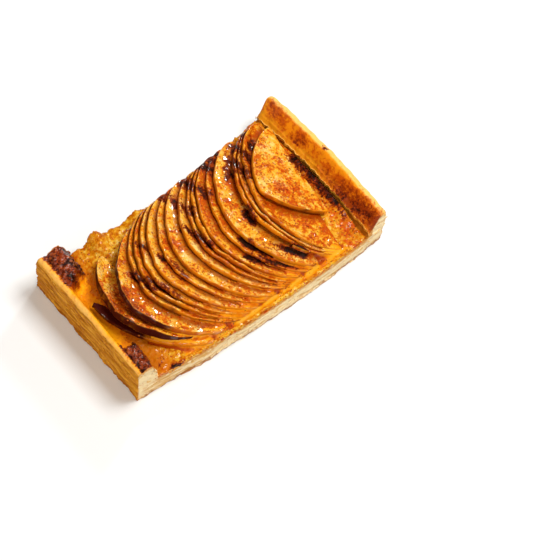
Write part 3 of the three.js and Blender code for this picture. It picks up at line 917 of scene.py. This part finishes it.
def fruit_finish():
    """Flesh, palest at the rim with a faint painted highlight on its edge, and brown with syrup and painted
    shade towards the next slice, and a glossy peel darker at its foot.
    """
    look = Finish("baked fruit")
    spot = look.spot
    inset, peel, across, length, gap = look.marks("inset", "peel", "across", "length", "gap")
    tone, dark, drift, grime, scorch = look.marks("tone", "dark_peel", "drift", "grime", "scorch")
    fine = look.noise(spot, 460.0, 4.0, 0.65)
    grain = look.noise(spot, 1400.0, 3.0, 0.6)
    patchy, gritty, dusty = look.uneven(spot, 120.0, 4.0, 0.6), fine - 0.5, grain - 0.5
    ripe = 0.5 + patchy * 0.7 + gritty * 0.75 + dusty * 0.35 + (tone - 0.5) * 0.2
    flesh = look.laid(FLESH_DEEP, FLESH_GOLD, ripe, 0.36, 0.47)
    flesh = look.laid(flesh, FLESH_PALE, ripe, 0.42, 0.54)
    flesh = look.laid(flesh, FLESH_WHITE, ripe, 0.53, 0.68, 0.9)
    front = look.smooth(length + patchy * 0.25, 0.4, 0.2)
    flesh = look.blend(front * look.smooth(fine, 0.6, 0.45) * 0.75, flesh, FLESH_AMBER)
    flesh = look.laid(flesh, FLESH_HONEY, length + patchy * 0.2, 0.16, 0.06)
    dusted = look.overlaid(SPICE, flesh, drift)
    # Syrup and painted shade: each face browns towards the next slice's rim, where that rim shades it
    inner = inset / (inset + gap + 0.05) + gritty * 0.7 + patchy * 0.5
    groove = look.smooth(inner, 0.42, 0.9) * look.smooth(gap, 5.0, 1.5)
    face = look.blend(groove * 0.82, look.flow(dusted, "colour"), SYRUP_AND_SHADE_BROWN)
    # Soot and painted shade: the face goes near black where the next slice's rim meets it, more towards the
    # back and far end
    contact_soot_and_shade = look.smooth(gap + gritty * 1.6 + dusty, 1.1, 0.3)
    face = look.blend(contact_soot_and_shade * (0.15 + grime * 0.4), face, GROOVE_SOOT_AND_SHADE)
    # Painted highlight: a thin, broken pale line along the top edge of the rim
    edge = look.smooth(inset + gritty * 1.2, 1.3, 0.3) * look.smooth(fine + patchy * 0.6, 0.38, 0.55)
    face = look.blend(edge * 0.12, face, FLESH_WHITE)
    face = look.laid(face, PEEL_GOLD, inset + gritty * 0.6, 0.55, 0.2, 0.7)
    # The peel darkens towards its lower edge, where it meets the slice below: partly its own browning, partly
    # painted shade
    skin = look.laid(PEEL_FOOT, PEEL_GOLD, across + patchy * 1.4, -0.9, 0.4)
    patch = look.smooth(look.noise(spot, 75.0, 3.0), 0.44, 0.58)
    skin = look.laid(skin, PEEL_RED, patch + gritty * 1.2, 0.7, 1.0, 0.6)
    skin = look.laid(skin, PEEL_DARK, dark + patchy * 0.6, 0.4, 0.65)
    browned = look.overlaid(SCORCH, look.blend(peel, face, skin), scorch)
    pooled = look.noise(spot, 330.0, 3.0, 0.6)
    wet = 0.03 + look.smooth(pooled + scorch * 0.06, 0.5, 0.57)
    bump = (fine * 0.7 + grain * 0.3) * (1.0 - peel * 0.6)
    return look.glazed(look.flow(browned, "colour"), 0.5 - wet * 0.12, bump, 0.8 * MM, wet,
                       specular_ior_level=0.06, subsurface_weight=0.08, subsurface_scale=2.0 * MM)


fruit_look = fruit_finish()
fruit_tree = fruit_growth()
fruit_slices = []
draw = np.random.default_rng(FRUIT_SEED)
for order, step in enumerate(RIM_STEPS + [LAST_STEP]):
    node = f"fruit_slice_{order + 1:02d}"
    foot, along, up, cut = fruit_lie(order)
    thickness = thickness_of(node, foot, along.cross(up))
    rim = RIM_THICKNESSES.get(order, FRUIT_RIM * draw.uniform(*FRUIT_RIM_SPREAD))
    least_fall, most_fall = RIM_FALL_LIMITS
    piece = shown(f"{node}_baked", bpy.data.meshes.new(node))
    fruit_tree.run(piece, material=fruit_look, foot=tuple(foot * MM), along=tuple(along), up=tuple(up),
                   front=cut["front"] * MM, back=cut["back"] * MM, depth=cut["depth"] * MM,
                   roundness=cut["roundness"], thickness=thickness * MM, tip=FRUIT_TIP * MM, rim=rim * MM,
                   fall=min(max(RIM_FALL_SHARE * step, least_fall), most_fall) * MM,
                   hang=HANGING_RIMS.get(order, 0.0) * MM, spread=SPREAD_RIMS.get(order, 0.0) * MM,
                   seed=float(order))
    points = points_of(piece.data)
    points[:, 2] += dome_at(points[:, 0], points[:, 1])
    points[:, 2] -= CREST_FLATTENING * np.maximum(points[:, 2] - FRUIT_CREST, 0)
    set_points(piece.data, points)
    run = marks_of(piece.data, "length")
    dark_run = eased(run, *DARK_RUNS.get(order, WHOLE_RUN))
    mark(piece.data,
         tone=TONES.get(order, draw.uniform(0, 1)),
         dark_peel=DARK_PEEL.get(order, draw.uniform(0, LIGHT_PEEL)) * dark_run,
         drift=marked_by(points, SPICE_DRIFTS),
         # The soot and painted shade at the contacts grow towards the back and the far end
         grime=0.35 + 0.65 * eased(points[:, 1] + 0.3 * points[:, 0], *SOOT_AND_SHADE_BAND))
    if order in TURNED_UP:
        turned = eased(marks_of(piece.data, "inset") + 0.8 * wave(4 * points[:, 1], 2), *TURNED_PEEL)
        turned = turned * eased(run, *TURNED_UP[order])
        mark(piece.data, peel=np.maximum(turned, marks_of(piece.data, "peel")))
    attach(piece, "root")
    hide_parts(node)
    fruit_slices.append(piece)


def rim_points(piece):
    return points_of(piece.data)[marks_of(piece.data, "peel") > 0.99]


def distance_to(points, others):
    """How far each point is from the nearest of some others."""
    tree = KDTree(len(others))
    for index, other in enumerate(others):
        tree.insert(other, index)
    tree.balance()
    return np.array([tree.find(point)[2] for point in points])


for piece, after in zip(fruit_slices, fruit_slices[1:] + [None]):
    points = points_of(piece.data)
    gap = distance_to(points, rim_points(after)) if after else np.full(len(points), FREE_GAP)
    sheltered = np.maximum(1.15 - eased(gap, *SHELTER), eased(points[:, 0], *OPEN_FOOT))
    mark(piece.data, gap=gap, scorch=marked_by(points, FRUIT_BURNS) * sheltered)

# Syrup run
# Syrup that has run off the fruit and set along the front margin, where it joins the front ends of the
# slices to the cream. A sheet drawn over the pieces below, softened, that dips under them at its edges.
RUN_CUTS = (320, 46, 1)
RUN_SPAN = (-53.0, 55.0)
RUN_BREADTH = 15.0
RUN_DEPTH = 0.9
RUN_LIFT = 0.35
RUN_INNER_DIP = 1.1
RUN_EDGE_DIP = 1.2
RUN_EDGE = (0.3, 1.8)
RUN_END_FADE = 14.0
RUN_EVENING = 2
RUN_BAND_EVENING = 9
RUN_DROP_FROM = 60.0
RUN_BROWN, RUN_AMBER, RUN_HONEY, RUN_PALE = "a84200", "d27000", "e29200", "eeae2c"


def surface_under(pieces):
    points, faces = [], []
    for piece in pieces:
        start = len(points)
        points.extend(points_of(piece.data).tolist())
        faces.extend([start + corner for corner in face.vertices] for face in piece.data.polygons)
    return BVHTree.FromPolygons(points, faces)


def softened(heights, reach, axes=(0, 1)):
    """Heights on a grid, evened out over some neighbours along and across."""
    weights = np.exp(-0.5 * (np.arange(-3 * reach, 3 * reach + 1) / reach) ** 2)
    weights /= weights.sum()
    for axis in axes:
        margin = [(3 * reach, 3 * reach) if axis == n else (0, 0) for n in (0, 1)]
        padded = np.pad(heights, margin, mode="edge")
        heights = np.apply_along_axis(np.convolve, axis, padded, weights, mode="valid")
    return heights


def run_heights():
    """The tops of the pieces under the run, softened a little, and how far they stand above their mean."""
    below = surface_under(fruit_slices + [cream])
    tops = np.empty((RUN_CUTS[0] + 1, RUN_CUTS[1] + 1))
    for i, x in enumerate(np.linspace(*RUN_SPAN, RUN_CUTS[0] + 1)):
        for j, inside in enumerate(np.linspace(0, RUN_BREADTH, RUN_CUTS[1] + 1)):
            hit = below.ray_cast((x, side_at(x, -1) + inside, RUN_DROP_FROM), (0, 0, -1))[0]
            tops[i, j] = hit.z if hit else STRIP_BOTTOM
    soft = softened(tops, RUN_EVENING)
    return soft, soft - softened(tops, RUN_BAND_EVENING, (0,))


def on_run(heights, a, b):
    """Reads a grid of heights at fractions along and across the run."""
    return heights[np.rint(a * RUN_CUTS[0]).astype(int), np.rint(b * RUN_CUTS[1]).astype(int)]


def run_place(a, b, c):
    x = between(*RUN_SPAN, a)
    inside = RUN_BREADTH * b
    breadth = RUN_BREADTH * (0.62 + 0.2 * wave(2 * x, 3))
    to_end = np.minimum(x - RUN_SPAN[0], RUN_SPAN[1] - x) + 1.5 * wave(9 * inside, 1)
    lie = RUN_LIFT - RUN_INNER_DIP * eased(inside, 0.3 * breadth, breadth)
    lie = lie - RUN_EDGE_DIP * (1 - eased(inside, *RUN_EDGE))
    lie = lie - RUN_EDGE_DIP * (1 - eased(to_end, 0, RUN_END_FADE))
    return x, side_at(x, -1) + inside, on_run(run_soft, a, b) + lie - RUN_DEPTH * (1 - c)


def run_finish():
    """Set syrup, brown where it lies low and pale where the fruit lifts it, with a little spice."""
    look = Finish("syrup run")
    mottle = look.noise(look.spot, 120.0, 4.0, 0.6)
    fine = look.noise(look.spot, 460.0, 4.0, 0.65)
    rise = look.marked("band") + (mottle - 0.5) * 1.2 + (fine - 0.5) * 0.8
    colour = look.laid(RUN_BROWN, RUN_AMBER, rise, -0.55, -0.15)
    colour = look.laid(colour, RUN_HONEY, rise, -0.2, 0.15)
    colour = look.laid(colour, RUN_PALE, rise, 0.15, 0.6, 0.8)
    dusted = look.overlaid(SPICE, colour, mottle - 0.9)
    wet = look.smooth(fine, 0.45, 0.58) * 0.5
    return look.glazed(look.flow(dusted, "colour"), 0.45 - mottle * 0.1, fine, 0.5 * MM, wet,
                       specular_ior_level=0.08)


run_soft, run_band = run_heights()
run_sheet, (a, b, c) = moulded("syrup_run", RUN_CUTS, run_place)
mark(run_sheet.data, band=on_run(run_band, a, b), upper=c, gap=FREE_GAP)
run_sheet.data.materials.append(run_finish())
run_sheet.data.shade_smooth()
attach(run_sheet, "root")

# Ground spice
# Coarse dark grains of ground spice, shaken over the whole before it was baked. They lie on the fruit, on
# the syrup run and on the margins of the cream, thicker in drifts.
STREWING_SEED = 5
GIRTH_SEED = 3
SPECK_DENSITY = 330000.0
SPECK_SIZES = (0.1 * MM, 0.3 * MM)
SPECK_SHAPE = (0.75, 0.5)
SPECK_ROUNDNESS = 1
SPECK_DARK, SPECK_RED = "2a0a02", "742a04"
FACE_UP = (0.4, 0.6)
OFF_PEEL = (1.3, 0.2)


def strewn(name, finish, bed, density, sizes, shape, roundness, **masks):
    """Small rounded bits strewn over some pieces, thick where the masks are high and noise gathers them."""
    tree = Growth(name, density=density, smallest=sizes[0], largest=sizes[1], narrowness=shape[0],
                  flatness=shape[1])
    whole = tree.step("GeometryNodeJoinGeometry")
    for piece in bed:
        source = tree.step("GeometryNodeObjectInfo", {"Object": piece})
        tree.tree.links.new(source.outputs["Geometry"], whole.inputs[0])
    thick = tree.size("density")
    for label, (low, high) in masks.items():
        thick = thick * tree.smooth(tree.marked(label), low, high)
    thick = thick * tree.smooth(tree.noise(tree.place(), 140.0, 3.0), 0.4, 0.6)
    strewing = {"Mesh": tree.flow(whole), "Density": thick, "Seed": STREWING_SEED}
    cast = tree.step("GeometryNodeDistributePointsOnFaces", strewing)
    bit = tree.step("GeometryNodeMeshIcoSphere", {"Radius": 1.0, "Subdivisions": roundness})
    limits = {"Min": tree.size("smallest"), "Max": tree.size("largest"), "Seed": GIRTH_SEED}
    girth = tree.step("FunctionNodeRandomValue", limits, data_type="FLOAT")
    wide = Flow(tree, next(socket for socket in girth.outputs if socket.enabled))
    scale = tree.joined(wide, wide * tree.size("narrowness"), wide * tree.size("flatness"))
    normal = tree.flow(cast, "Normal")
    level = tree.steer("CROSS_PRODUCT", (0.0, 0.0, 1.0), normal)
    axes = dict(primary_axis="Z", secondary_axis="X")
    turn = tree.flow(tree.step("FunctionNodeAxesToRotation", {0: normal, 1: level}, **axes))
    lying = {"Points": tree.flow(cast), "Instance": tree.flow(bit), "Rotation": turn, "Scale": scale}
    tree.finish(tree.flow(tree.step("GeometryNodeInstanceOnPoints", lying)))
    return tree.run(shown(name, bpy.data.meshes.new(name)), material=finish)


def speck_finish():
    look = Finish("ground spice")
    shade = look.noise(look.spot, 900.0, 2.0)
    colour = look.laid(SPECK_DARK, SPECK_RED, shade, 0.4, 0.6)
    grain = look.noise(look.spot, 4000.0)
    return look.done(colour, 0.7 - shade * 0.1, grain, 0.1 * MM, specular_ior_level=0.05)


specks = strewn("ground_spice", speck_finish(), fruit_slices + [cream, run_sheet], SPECK_DENSITY, SPECK_SIZES,
                SPECK_SHAPE, SPECK_ROUNDNESS, upper=FACE_UP, gap=(0.2, 1.2), peel=OFF_PEEL)
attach(specks, "root")

# Syrup beads
# Drops of set syrup that stand on the faces of the fruit and on the margins of the cream, where nothing
# has burnt, and catch the light.
BEAD_DENSITY = 120000.0
BEAD_SIZES = (0.25 * MM, 0.7 * MM)
BEAD_SHAPE = (0.75, 0.3)
BEAD_ROUNDNESS = 2
BEAD_BROWN, BEAD_GOLD = "a84802", "d88008"


def bead_finish():
    look = Finish("set syrup")
    shade = look.noise(look.spot, 260.0, 3.0)
    colour = look.laid(BEAD_BROWN, BEAD_GOLD, shade, 0.4, 0.6)
    return look.done(colour, 0.3 + shade * 0.1, shade, 0.05 * MM, coat_weight=1.0, coat_roughness=0.06,
                     specular_ior_level=0.1)


beads = strewn("syrup_beads", bead_finish(), fruit_slices + [cream], BEAD_DENSITY, BEAD_SIZES, BEAD_SHAPE,
               BEAD_ROUNDNESS, upper=FACE_UP, gap=(0.2, 1.0), peel=OFF_PEEL, scorch=(0.3, 0.1))
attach(beads, "root")

# Pastry flakes
# Torn slivers of the baked layers that cling to the walls of the slab and the strips. They lie along
# the layers, and none hangs below the underside.
FLAKE_DENSITY = 130000.0
FLAKE_SIZES = (0.4 * MM, 1.4 * MM)
FLAKE_SHAPE = (0.3, 0.2)
FLAKE_ROUNDNESS = 2
FLAKE_FLOOR = 0.02


def flake_finish():
    look = Finish("pastry flakes")
    shade = look.noise(look.spot, 300.0, 3.0)
    baked = look.laid(END_BROWN, END_GOLD, shade, 0.4, 0.55)
    pale = look.laid(CRUMB_LINE, CRUMB, shade, 0.4, 0.55)
    colour = look.blend(look.marked("cut"), baked, pale)
    grain = look.noise(look.spot, 2000.0)
    return look.done(colour, 0.7 - shade * 0.1, grain, 0.1 * MM, specular_ior_level=0.1)


flakes = strewn("pastry_flakes", flake_finish(), [base, near, far], FLAKE_DENSITY, FLAKE_SIZES, FLAKE_SHAPE,
                FLAKE_ROUNDNESS, side=(0.6, 0.95), lump=(0.2, 0.0))
flake_points = points_of(flakes.data)
flake_points[:, 2] = np.maximum(flake_points[:, 2], FLAKE_FLOOR)
set_points(flakes.data, flake_points)
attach(flakes, "root")

# Studio
# A pale floor, a main lamp high over the far front corner, a small lamp past the far end that makes the
# glints, and a broad warm lamp at the near front. The camera looks down on the near front corner.
VIEW_TURN = -45.0
VIEW_RISE = 59.9
VIEW_ROLL = 6.5
VIEW_DISTANCE = 0.9
VIEW_CENTRE = Vector((-0.0012, 0, 0))
AIM_RIGHT = 0.0318
AIM_DOWN = 0.0093
LENS = 131.2
SENSOR_WIDTH = 36.0
SKY_COLOUR = (1.0, 0.91, 0.79, 1.0)
SKY_STRENGTH = 0.2
FLOOR_HALF = 3.0
FLOOR_COLOUR = "e9effa"


def camera_axes():
    """The camera's right, up and back, rolled a little about its own axis."""
    turn, rise, roll = (math.radians(angle) for angle in (VIEW_TURN, VIEW_RISE, VIEW_ROLL))
    back = Vector((math.sin(turn) * math.cos(rise), -math.cos(turn) * math.cos(rise), math.sin(rise)))
    level = Vector((0, 0, 1)).cross(back).normalized()
    upright = back.cross(level)
    right = level * math.cos(roll) + upright * math.sin(roll)
    return right, back.cross(right), back


def looking(position, right, back):
    right = (right - back * right.dot(back)).normalized()
    upright = back.cross(right)
    return Matrix.Translation(position) @ Matrix((right, upright, back)).transposed().to_4x4()


def lamp(name, position, size, power, colour):
    """A square lamp that faces the middle of the pastry."""
    data = bpy.data.lights.new(name, "AREA")
    data.size = size
    data.energy = power
    data.color = colour
    light = bpy.data.objects.new(name, data)
    light.matrix_world = looking(Vector(position), Vector((1, 0, 0)), Vector(position).normalized())
    bpy.context.scene.collection.objects.link(light)


right, upright, back = camera_axes()
eye = VIEW_CENTRE + back * VIEW_DISTANCE
aim = VIEW_CENTRE + right * AIM_RIGHT - upright * AIM_DOWN
camera = bpy.data.objects.new("camera", bpy.data.cameras.new("camera"))
camera.data.lens = LENS
camera.data.sensor_width = SENSOR_WIDTH
camera.matrix_world = looking(eye, right, (eye - aim).normalized())
bpy.context.scene.collection.objects.link(camera)
bpy.context.scene.camera = camera

lamp("main lamp", position=(0.34, -0.14, 0.85), size=0.36, power=7.0, colour=(1.0, 0.965, 0.89))
lamp("glint lamp", position=(0.68, 0.32, 0.5), size=0.1, power=2.2, colour=(1.0, 0.97, 0.92))
lamp("warm lamp", position=(-0.75, -0.5, 0.7), size=1.6, power=12.0, colour=(1.0, 0.85, 0.66))

world = bpy.data.worlds.new("studio")
world.use_nodes = True
sky = world.node_tree.nodes["Background"]
sky.inputs["Color"].default_value = SKY_COLOUR
sky.inputs["Strength"].default_value = SKY_STRENGTH
bpy.context.scene.world = world
bpy.context.scene.view_settings.view_transform = "Standard"

floor_mesh = bpy.data.meshes.new("floor")
floor_corners = [(x * FLOOR_HALF, y * FLOOR_HALF, 0) for x, y in ((-1, -1), (1, -1), (1, 1), (-1, 1))]
floor_mesh.from_pydata(floor_corners, [], [(0, 1, 2, 3)])
floor = shown("floor", floor_mesh)
floor_look = Finish("pale floor")
floor_grain = floor_look.noise(floor_look.spot, 40.0)
floor_mesh.materials.append(floor_look.done(FLOOR_COLOUR, 0.6, floor_grain, 0.05 * MM))
